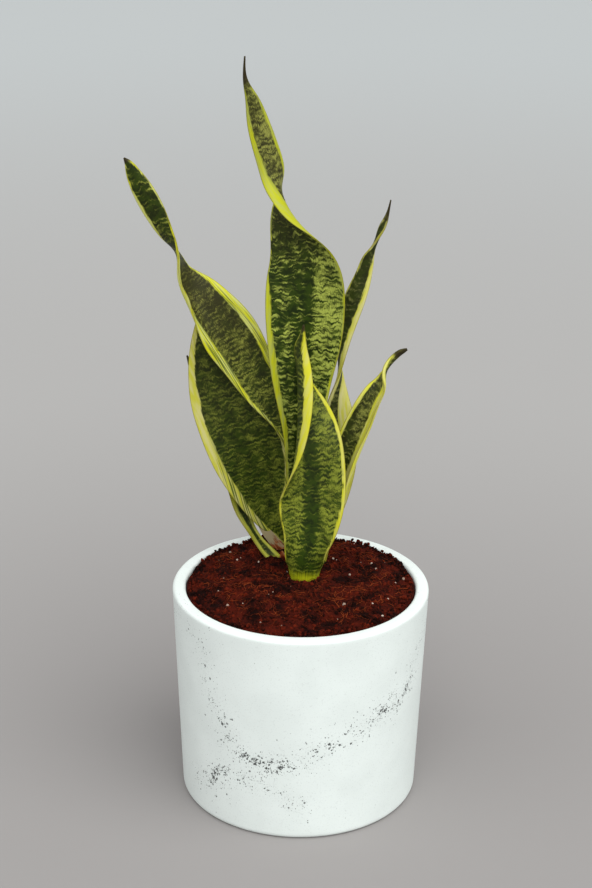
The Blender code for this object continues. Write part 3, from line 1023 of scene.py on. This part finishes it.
def random_sizes(rng, count, least, more, power, narrow, wide):
    """Three sizes for each of count crumbs: few are large, and each is stretched from narrow to wide."""
    size = least + more * rng.uniform(0, 1, (count, 1)) ** power
    return size * rng.uniform(narrow, wide, (count, 3))


def make_crumbs():
    """Crumbs all over the soil, and a raised row of them along the wall, higher at the back."""
    rng = np.random.default_rng(CRUMB_SEED)
    shape, faces = crumb_shape()
    places = on_the_soil(rng, CRUMBS, SOIL_RADIUS - 0.0022)
    sizes = random_sizes(rng, CRUMBS, 0.00045, 0.0011, 3, 0.55, 1.3)
    edge_angle = rng.uniform(0, 2 * np.pi, EDGE_CRUMBS)
    edge_radius = SOIL_RADIUS - rng.uniform(0.0016, 0.0045, EDGE_CRUMBS)
    x, y = edge_radius * np.cos(edge_angle), edge_radius * np.sin(edge_angle)
    lift = rng.uniform(-0.0002, 0.0012, EDGE_CRUMBS)
    lift += 0.0009 * smooth_step(0.2, 0.9, y / SOIL_RADIUS) * rng.uniform(0, 1, EDGE_CRUMBS)
    edge = np.stack([x, y, soil_height(x, y) + lift], axis=-1)
    edge_sizes = random_sizes(rng, EDGE_CRUMBS, 0.0005, 0.0010, 2, 0.6, 1.2)
    places = np.concatenate([places, edge])
    sizes = np.concatenate([sizes, edge_sizes])
    shape = shape * (1 + 0.22 * SOIL_LUMPS(shape * 3, 1.0))[:, None]
    paint = soil_paint("coir_crumbs", COIR_DARK, CRUMB_LIGHT)
    tones = rng.uniform(0, 1, len(places)) ** 1.6
    turns = random_turns(rng, len(places))
    piece = scattered("coir_crumbs", shape, faces, places, sizes, turns, paint, tones)
    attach(piece, "root")


def make_perlite():
    """Pale grains that lie a little higher than the crumbs."""
    rng = np.random.default_rng(GRAIN_SEED)
    shape, faces = crumb_shape()
    places = on_the_soil(rng, GRAINS, SOIL_RADIUS - 0.004)
    places[:, 2] += 0.0003
    sizes = random_sizes(rng, GRAINS, 0.0003, 0.0007, 2, 0.7, 1.2)
    shape = shape * (1 + 0.25 * SOIL_LUMPS(shape * 2, 1.0))[:, None]
    paint = soil_paint("perlite", GRAIN_DARK, GRAIN_LIGHT)
    tones = rng.uniform(0.2, 1, GRAINS)
    turns = random_turns(rng, GRAINS)
    piece = scattered("perlite_grains", shape, faces, places, sizes, turns, paint, tones)
    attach(piece, "root")


def make_fibres():
    """Thin strands that lie over the crumbs: each one an arc that wavers, with a skin of a few sides.

    The heading turns along a strand by its bend and by a sine wave, and the steps add up to its path.
    """
    rng = np.random.default_rng(STRAND_SEED)
    count, steps, sides = STRANDS, STRAND_STEPS, STRAND_SIDES
    start = on_the_soil(rng, count, SOIL_RADIUS - 0.010)
    heading = rng.uniform(0, 2 * np.pi, count)[:, None]
    length = (0.004 + 0.013 * rng.uniform(0, 1, count) ** 2)[:, None]
    bend = rng.normal(0, 1.1, count)[:, None]
    share = np.linspace(-0.5, 0.5, steps)[None, :]
    direction = heading + bend * share + 0.5 * np.sin(9 * share + 5 * heading)
    step = length / steps
    x = start[:, :1] + np.cumsum(step * np.cos(direction), axis=1)
    y = start[:, 1:2] + np.cumsum(step * np.sin(direction), axis=1)
    reach = np.hypot(x, y)
    shrink = np.minimum(1, (SOIL_RADIUS - 0.0025) / reach)
    x, y = x * shrink, y * shrink
    lift = rng.uniform(0.0003, 0.0011, count)[:, None] + 0.0004 * np.sin(7 * share + heading)
    z = soil_height(x, y) + lift
    radius = (0.00007 + 0.00010 * rng.uniform(0, 1, count) ** 2)[:, None] * (1 - (1.7 * share) ** 4)
    around = np.linspace(0, 2 * np.pi, sides, endpoint=False)
    sideways = -np.sin(direction)[..., None], np.cos(direction)[..., None]
    points = np.stack(
        [
            x[..., None] + radius[..., None] * np.cos(around) * sideways[0],
            y[..., None] + radius[..., None] * np.cos(around) * sideways[1],
            z[..., None] + radius[..., None] * np.sin(around),
        ],
        axis=-1,
    ).reshape(count, steps * sides, 3)
    strand = tube_faces(steps, sides)
    quads, ends = np.array(strand[:-2]), np.array(strand[-2:])
    offsets = np.arange(count)[:, None, None] * steps * sides
    faces = (offsets + quads).reshape(-1, 4).tolist() + (offsets + ends).reshape(-1, sides).tolist()
    tones = np.repeat(rng.uniform(0, 1, count), steps * sides)
    paint = soil_paint("coir_fibres", STRAND_DARK, STRAND_LIGHT)
    piece = put_in_scene("coir_fibres", points, faces, paint, {"tone": tones})
    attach(piece, "root")


# --- studio --------------------------------------------------------------------------------------------


FLOOR_HALF = 30.0
# Painted shade: the floor's colour darkens from far off in towards the pot.
FLOOR_SHADED_NEAR = (151, 147, 146)
FLOOR_SHADED_MIDDLE = (167, 165, 164)
FLOOR_FAR = (177, 180, 181)


def make_floor():
    """A pale paper floor with painted shade: its colour is a little darker round the pot than far from it."""
    paint = Paint("pale_paper_painted_shade", Roughness=0.9, Specular_IOR_Level=0.0)
    place = paint.node("ShaderNodeTexCoord", {}, output="Object")
    reach = paint.node("ShaderNodeVectorMath", {"operation": "LENGTH"}, place, output="Value")
    # painted shade: the colour is darker near the pot and lighter far from it
    shaded_near = paint.blend(reach.step(0.0, 0.75), FLOOR_SHADED_NEAR, FLOOR_SHADED_MIDDLE)
    paint.feed("Base Color", paint.blend(reach.step(0.6, 2.8), shaded_near, FLOOR_FAR))
    corners = FLOOR_HALF * np.array([(-1, -1, 0), (1, -1, 0), (1, 1, 0), (-1, 1, 0)])
    floor = put_in_scene("floor", corners, [(0, 1, 2, 3)], paint)


def add_light(name, azimuth, elevation, softness, strength, colour):
    """Light from far off: azimuth is 0 from the front and turns to the right, softness is its angle."""
    light = bpy.data.lights.new(name, "SUN")
    light.angle = math.radians(softness)
    light.energy = strength
    light.color = colour
    lamp = bpy.data.objects.new(name, light)
    bpy.context.scene.collection.objects.link(lamp)
    lamp.rotation_euler = (math.radians(90 - elevation), 0, math.radians(azimuth))


def add_studio_light():
    """A broad key light from the front right, a weak fill from the left and an even pale sky."""
    add_light("key", 32, 50, 75, 3.0, (0.975, 1.0, 0.985))
    add_light("fill", -55, 40, 60, 0.75, (0.98, 1.0, 0.99))
    world = bpy.data.worlds.new("studio")
    world.use_nodes = True
    background = world.node_tree.nodes["Background"]
    background.inputs["Color"].default_value = (0.99, 0.99, 1.0, 1.0)
    background.inputs["Strength"].default_value = 0.41
    bpy.context.scene.world = world
    bpy.context.scene.view_settings.view_transform = "Standard"


def add_camera():
    """A long lens in front of the plant, looking down on it and turned a little about its own axis."""
    camera_data = bpy.data.cameras.new("camera")
    camera_data.lens = 75.0
    camera_data.sensor_width = 36.0
    camera = bpy.data.objects.new("camera", camera_data)
    bpy.context.scene.collection.objects.link(camera)
    camera.location = (-0.0036, -0.9797, 0.6036)
    down, roll = math.radians(21.51), math.radians(0.58)
    camera.rotation_mode = "XYZ"
    turn = Matrix.Rotation(math.pi / 2 - down, 3, "X") @ Matrix.Rotation(roll, 3, "Z")
    camera.rotation_euler = turn.to_euler()
    bpy.context.scene.camera = camera


def main():
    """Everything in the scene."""
    for seed, (name, rows) in enumerate(LEAVES.items(), start=1):
        make_leaf(name, seed, rows, LOOKS[name])
    make_dry_scales()
    make_pot()
    make_soil_body()
    make_crumbs()
    make_perlite()
    make_fibres()
    make_floor()
    add_studio_light()
    add_camera()


main()
